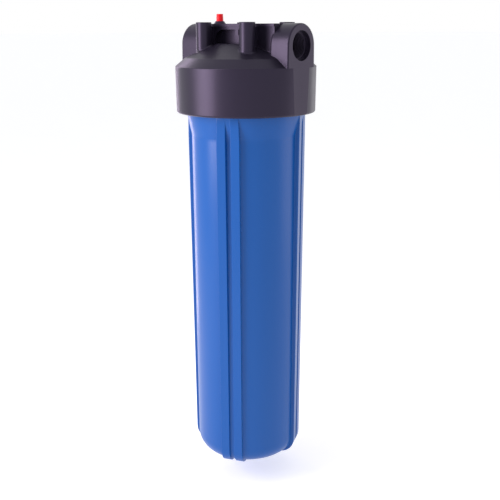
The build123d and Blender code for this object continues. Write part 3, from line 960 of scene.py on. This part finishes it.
# --- cartridge -------------------------------------------------------------------------
@dataclass
class Cartridge:
    """The pleated cartridge: lattice core, folded sheet, net sleeve, caps and gaskets."""

    low_z: float = 28.3
    high_z: float = 521.7
    pleats: int = 84
    sheet_mm: float = 0.7
    fold_inner: float = 20.4
    fold_outer: float = 54.0
    points_per_pleat: int = 16
    core_r: float = 18.0
    core_bars: int = 12
    ring_step: float = 11.0
    net_r: float = 55.0
    strand_r: float = 0.3
    strands: int = 40

    def sheet(self) -> bpy.types.Mesh:
        """The folded filter sheet: a wrapped strip whose radius swings in and out.

        Returns:
            The mesh in metres.
        """
        recipe = Recipe("pleated_sheet")
        pleats = recipe.size("Pleats", self.pleats, "NodeSocketInt")
        middle = recipe.size("Middle radius", 0.5 * (self.fold_inner + self.fold_outer) * MM)
        depth = recipe.size("Half depth", 0.5 * (self.fold_outer - self.fold_inner) * MM)
        low = recipe.size("Foot", self.low_z * MM)
        height = recipe.size("Height", (self.high_z - self.low_z) * MM)
        steps = self.pleats * self.points_per_pleat
        strip = add(recipe.tree, "GeometryNodeMeshGrid", {
            "Size X": 1.0, "Size Y": 1.0, "Vertices X": steps + 1, "Vertices Y": 9})
        where = add(recipe.tree, "ShaderNodeSeparateXYZ", {
            0: add(recipe.tree, "GeometryNodeInputPosition").outputs[0]})
        along = recipe.math("ADD", where.outputs["X"], 0.5)
        angle = recipe.math("MULTIPLY", along, math.tau)
        phase = recipe.math("MULTIPLY", angle, pleats)
        # A sine pushed towards a saw-tooth keeps the flanks straight and the folds round.
        wave = recipe.math("ARCSINE", recipe.math("MULTIPLY", recipe.math("SINE", phase), 0.985))
        swing = recipe.math("DIVIDE", wave, math.asin(0.985))
        radius = recipe.math("MULTIPLY_ADD", swing, depth, middle)
        place = add(recipe.tree, "ShaderNodeCombineXYZ", {
            "X": recipe.math("MULTIPLY", radius, recipe.math("COSINE", angle)),
            "Y": recipe.math("MULTIPLY", radius, recipe.math("SINE", angle)),
            "Z": recipe.math("MULTIPLY_ADD", recipe.math("ADD", where.outputs["Y"], 0.5), height, low)})
        folded = add(recipe.tree, "GeometryNodeSetPosition", {
            "Geometry": strip.outputs["Mesh"], "Position": place.outputs[0]})
        joined = add(recipe.tree, "GeometryNodeMergeByDistance", {
            "Geometry": folded.outputs[0], "Distance": 0.00001})
        flat = recipe.run(joined.outputs[0], POLYESTER, "pleated_sheet")
        return self.thicken(flat)

    def thicken(self, mesh: bpy.types.Mesh) -> bpy.types.Mesh:
        """Gives the folded sheet its thickness.

        Args:
            mesh: The folded surface.

        Returns:
            The closed mesh.
        """
        carrier = bpy.data.objects.new("sheet_carrier", mesh)
        bpy.context.scene.collection.objects.link(carrier)
        shell = carrier.modifiers.new("thickness", "SOLIDIFY")
        shell.thickness = self.sheet_mm * MM
        shell.offset = 0.0
        graph = bpy.context.evaluated_depsgraph_get()
        solid = bpy.data.meshes.new_from_object(carrier.evaluated_get(graph))
        bpy.data.objects.remove(carrier)
        solid.name = "pleated_sheet"
        solid.shade_smooth()
        return solid

    def core(self) -> bpy.types.Mesh:
        """The lattice core: upright bars tied by rings.

        Returns:
            The mesh in metres.
        """
        recipe = Recipe("lattice_core")
        bars = recipe.size("Bars", self.core_bars, "NodeSocketInt")
        radius = recipe.size("Radius", self.core_r * MM)
        height = recipe.size("Height", (self.high_z - self.low_z) * MM)
        rings = recipe.size("Rings", int((self.high_z - self.low_z) / self.ring_step) + 1, "NodeSocketInt")
        bar_size = add(recipe.tree, "ShaderNodeCombineXYZ", {"X": 2.4 * MM, "Y": 3.0 * MM, "Z": height})
        bar = add(recipe.tree, "GeometryNodeMeshCube", {"Size": bar_size.outputs[0]})
        circle = add(recipe.tree, "GeometryNodeCurvePrimitiveCircle", {
            "Resolution": self.core_bars, "Radius": radius})
        spots = add(recipe.tree, "GeometryNodeCurveToPoints", {
            "Curve": circle.outputs[0], "Count": bars}, mode="COUNT")
        uprights = recipe.around(bar.outputs[0], bars, spots.outputs[0])
        loop = add(recipe.tree, "GeometryNodeCurvePrimitiveCircle", {
            "Resolution": 48, "Radius": radius})
        level = add(recipe.tree, "GeometryNodeSetCurveNormal", {"Curve": loop.outputs[0]}, mode="Z_UP")
        section = add(recipe.tree, "GeometryNodeCurvePrimitiveQuadrilateral", {
            "Width": 1.8 * MM, "Height": 2.2 * MM})
        hoop = add(recipe.tree, "GeometryNodeCurveToMesh", {
            "Curve": level.outputs[0], "Profile Curve": section.outputs[0]})
        half = recipe.math("MULTIPLY", height, 0.5)
        foot = add(recipe.tree, "ShaderNodeCombineXYZ", {
            "Z": recipe.math("SUBTRACT", 1.5 * MM, half)})
        pitch = recipe.math("DIVIDE", recipe.math("SUBTRACT", height, 3.0 * MM),
                            recipe.math("SUBTRACT", rings, 1.0))
        step = add(recipe.tree, "ShaderNodeCombineXYZ", {"Z": pitch})
        levels = add(recipe.tree, "GeometryNodeMeshLine", {
            "Count": rings, "Start Location": foot.outputs[0], "Offset": step.outputs[0]})
        hoops = add(recipe.tree, "GeometryNodeInstanceOnPoints", {
            "Points": levels.outputs[0], "Instance": hoop.outputs[0]})
        both = add(recipe.tree, "GeometryNodeJoinGeometry")
        recipe.tree.links.new(uprights, both.inputs[0])
        recipe.tree.links.new(hoops.outputs[0], both.inputs[0])
        mesh = recipe.run(both.outputs[0], WHITE_PP, "lattice_core")
        mesh.transform(Matrix.Translation((0.0, 0.0, 0.5 * (self.low_z + self.high_z) * MM)))
        mesh.shade_flat()
        return mesh

    def net(self, hand: Hand) -> bpy.types.Mesh:
        """One family of the net's strands.

        Args:
            hand: Which way the strands wind.

        Returns:
            The mesh in metres.
        """
        rise = self.high_z - self.low_z - 2 * self.strand_r
        turns = rise / (math.tau * self.net_r)
        strand = Helix(f"net_{hand.name.lower()}", self.net_r, rise / turns, turns,
                       self.low_z + self.strand_r, (self.strand_r, 5), hand=hand,
                       steps_per_turn=48, copies=self.strands)
        return strand.mesh(NET_PE)

    def dress(self, nodes: dict) -> None:
        """Places the cartridge's pieces and finishes its caps and gaskets.

        Args:
            nodes: The frame's nodes.
        """
        settle(piece_from(self.sheet(), "pleated_sheet", POLYESTER), "cartridge", Slot.FABRIC,
               "filter_media")
        settle(piece_from(self.core(), "lattice_core", WHITE_PP), "cartridge", Slot.WHITE, "filter_core")
        for hand in Hand:
            settle(piece_from(self.net(hand), f"net_{hand.name.lower()}", NET_PE), "cartridge",
                   Slot.NET, "filter_outer_net")
        for end in ("top", "bottom"):
            dress(nodes, f"filter_{end}_cap", WHITE_PP)
            dress(nodes, f"filter_{end}_gasket", RUBBER)


# --- studio ----------------------------------------------------------------------------
@dataclass
class SoftBox:
    """One rectangular studio light; azimuth is measured from the camera, to the right."""

    name: str
    azimuth: float
    distance: float
    width: float
    low_z: float
    high_z: float
    watts: float
    colour: str = "#ffffff"


@dataclass
class Studio:
    """Pale floor, even surroundings, soft boxes and the camera."""

    camera_azimuth: float = 40.66
    camera_distance: float = 1.059
    camera_z: float = 0.5962
    pitch: float = 0.2762
    yaw: float = 0.0042
    roll: float = -0.0039
    lens_mm: float = 56.89
    floor_z: float = -0.041
    floor_r: float = 80.0
    boxes: list = field(default_factory=lambda: [
        SoftBox("key_left", azimuth=-67.0, distance=1.25, width=0.66, low_z=0.22, high_z=1.35,
                watts=20.5, colour="#fff4fb"),
        SoftBox("fill_right", azimuth=92.0, distance=1.2, width=0.6, low_z=0.0, high_z=1.3,
                watts=2.6, colour="#fff2fc"),
        SoftBox("rim_left", azimuth=-144.0, distance=0.62, width=0.08, low_z=-0.03, high_z=0.95,
                watts=1.1, colour="#f4dcff"),
        SoftBox("rim_right", azimuth=132.0, distance=0.62, width=0.07, low_z=-0.03, high_z=0.95,
                watts=0.35),
    ])

    def floor(self) -> None:
        """A wide pale floor, a little below the bowl, so that the bowl can be screwed off."""
        rings, around = 24, 96
        radii = [self.floor_r * (k / rings) ** 3 for k in range(1, rings + 1)]
        verts = [(0.0, 0.0, self.floor_z)]
        for radius in radii:
            for j in range(around):
                angle = math.tau * j / around
                verts.append((radius * math.cos(angle), radius * math.sin(angle), self.floor_z))
        faces = [(0, 1 + j, 1 + (j + 1) % around) for j in range(around)]
        for i in range(rings - 1):
            for j in range(around):
                after = (j + 1) % around
                a, b = 1 + i * around, 1 + (i + 1) * around
                faces.append((a + j, b + j, b + after, a + after))
        mesh = bpy.data.meshes.new("floor")
        mesh.from_pydata(verts, [], faces)
        paint = bpy.data.materials.new("matt_white_floor_paint")
        paint.use_nodes = True
        tree = paint.node_tree
        tree.nodes.clear()
        coords = add(tree, "ShaderNodeTexCoord").outputs["Object"]
        mottle = add(tree, "ShaderNodeTexNoise", {"Vector": coords, "Scale": 6.0, "Detail": 3.0})
        shade = mottled(tree, mottle.outputs["Fac"], "#f8f8f9", "#fbfbfb")
        shader = add(tree, "ShaderNodeBsdfPrincipled", {
            "Base Color": shade, "Roughness": 0.9, "Specular IOR Level": 0.1,
            "Emission Color": linear("#ffffff"), "Emission Strength": 0.2})
        add(tree, "ShaderNodeOutputMaterial", {"Surface": shader.outputs["BSDF"]})
        mesh.materials.append(paint)
        floor = bpy.data.objects.new("floor", mesh)
        bpy.context.scene.collection.objects.link(floor)

    def surroundings(self) -> None:
        """White to the eye, and a softer even light for everything else."""
        world = bpy.data.worlds.new("studio")
        world.use_nodes = True
        tree = world.node_tree
        tree.nodes.clear()
        path = add(tree, "ShaderNodeLightPath")
        seen = add(tree, "ShaderNodeBackground", {"Color": (1.0, 1.0, 1.0, 1.0), "Strength": 1.0})
        soft = add(tree, "ShaderNodeBackground", {"Color": (0.97, 0.98, 1.0, 1.0), "Strength": 0.85})
        mixed = add(tree, "ShaderNodeMixShader", {
            0: path.outputs["Is Camera Ray"], 1: soft.outputs[0], 2: seen.outputs[0]})
        add(tree, "ShaderNodeOutputWorld", {"Surface": mixed.outputs[0]})
        bpy.context.scene.world = world

    def lights(self) -> None:
        """Hangs the soft boxes, all facing the object's axis."""
        for box in self.boxes:
            angle = math.radians(self.camera_azimuth + box.azimuth)
            out = Vector((math.sin(angle), -math.cos(angle), 0.0))
            lamp = bpy.data.lights.new(box.name, "AREA")
            lamp.shape = "RECTANGLE"
            lamp.size = box.width
            lamp.size_y = box.high_z - box.low_z
            lamp.energy = box.watts
            lamp.color = linear(box.colour)[:3]
            stand = bpy.data.objects.new(box.name, lamp)
            bpy.context.scene.collection.objects.link(stand)
            right = Vector((-out.y, out.x, 0.0))
            turn = Matrix((right, Vector((0.0, 0.0, 1.0)), out)).transposed()
            place = out * box.distance + Vector((0.0, 0.0, 0.5 * (box.low_z + box.high_z)))
            stand.matrix_world = Matrix.Translation(place) @ turn.to_4x4()
            stand.visible_camera = False

    def camera(self) -> None:
        """Sets the camera, looking a little down on the head."""
        angle = math.radians(self.camera_azimuth)
        out = Vector((math.sin(angle), -math.cos(angle), 0.0))
        right = Vector((math.cos(angle), math.sin(angle), 0.0))
        up = Vector((0.0, 0.0, 1.0))
        ahead = -out * math.cos(self.yaw) + right * math.sin(self.yaw)
        right = right * math.cos(self.yaw) + out * math.sin(self.yaw)
        look = ahead * math.cos(self.pitch) - up * math.sin(self.pitch)
        top = ahead * math.sin(self.pitch) + up * math.cos(self.pitch)
        side = right * math.cos(self.roll) + top * math.sin(self.roll)
        top = top * math.cos(self.roll) - right * math.sin(self.roll)
        lens = bpy.data.cameras.new("camera")
        lens.lens = self.lens_mm
        lens.sensor_width = 36.0
        lens.clip_end = 400.0
        stand = bpy.data.objects.new("camera", lens)
        bpy.context.scene.collection.objects.link(stand)
        turn = Matrix((side, top, -look)).transposed()
        place = out * self.camera_distance + Vector((0.0, 0.0, self.camera_z))
        stand.matrix_world = Matrix.Translation(place) @ turn.to_4x4()
        bpy.context.scene.camera = stand

    def build(self) -> None:
        """Builds the whole studio."""
        self.floor()
        self.surroundings()
        self.lights()
        self.camera()
        bpy.context.scene.view_settings.view_transform = "Standard"
        LOG.info("studio: floor, %d soft boxes, camera", len(self.boxes))


def main() -> None:
    """Builds the housing round the CAD frame, then the studio."""
    logging.basicConfig(level=logging.INFO, format="%(name)s: %(message)s")
    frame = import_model()
    nodes = frame["nodes"]
    Head().dress(nodes)
    Bowl().dress(nodes)
    ReliefValve().dress(nodes)
    Cartridge().dress(nodes)
    Studio().build()


if __name__ == "__main__":
    main()
